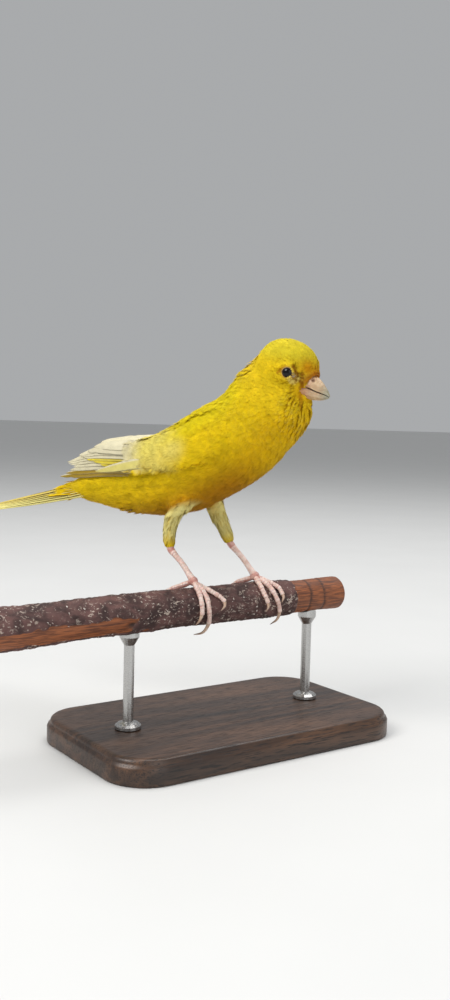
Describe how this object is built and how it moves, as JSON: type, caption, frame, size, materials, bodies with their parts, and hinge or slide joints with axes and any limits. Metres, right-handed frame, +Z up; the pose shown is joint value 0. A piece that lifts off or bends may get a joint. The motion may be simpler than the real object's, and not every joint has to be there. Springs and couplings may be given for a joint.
{
  "type": "canary",
  "caption": "Still, life-size domestic canary standing on a cut length of branch, held by a flat base and short rods.",
  "frame": {"origin": "middle of the stand base's underside", "axes": "+X the way the bird faces, +Y to its left, +Z up"},
  "size_m": [0.1513, 0.1353, 0.1326],
  "materials": {
    "plumage": "soft matte plumage, bright yellow, deeper on the belly",
    "flight_feathers": "smooth vanes, cream white with yellow edges",
    "eye": "glossy, nearly black brown",
    "bill": "satin horn, pinkish cream with a greyish tip",
    "leg_skin": "scaly pinkish skin",
    "claw": "satin pale horn",
    "branch": "rough purplish brown bark with pale flecks, bare orange brown wood at one end",
    "base": "satin dark wood",
    "rod": "brushed"
  },
  "bodies": {
    "root": {"torso": "plumage", "neck": "plumage", "head": "plumage", "eye_right": "eye", "eye_left": "eye", "bill_upper": "bill", "bill_lower": "bill", "wing_right": "flight_feathers", "wing_left": "flight_feathers", "tail": "flight_feathers", "thigh_right": "plumage", "thigh_left": "plumage", "tarsus_right": "leg_skin", "tarsus_left": "leg_skin", "foot_right": "leg_skin", "foot_left": "leg_skin", "claw_right_hallux": "claw", "claw_right_inner": "claw", "claw_right_middle": "claw", "claw_right_outer": "claw", "claw_left_hallux": "claw", "claw_left_inner": "claw", "claw_left_middle": "claw", "claw_left_outer": "claw", "perch": "branch", "stand_base": "base", "stand_rod_near": "rod", "stand_rod_far": "rod"}
  },
  "joints": []
}
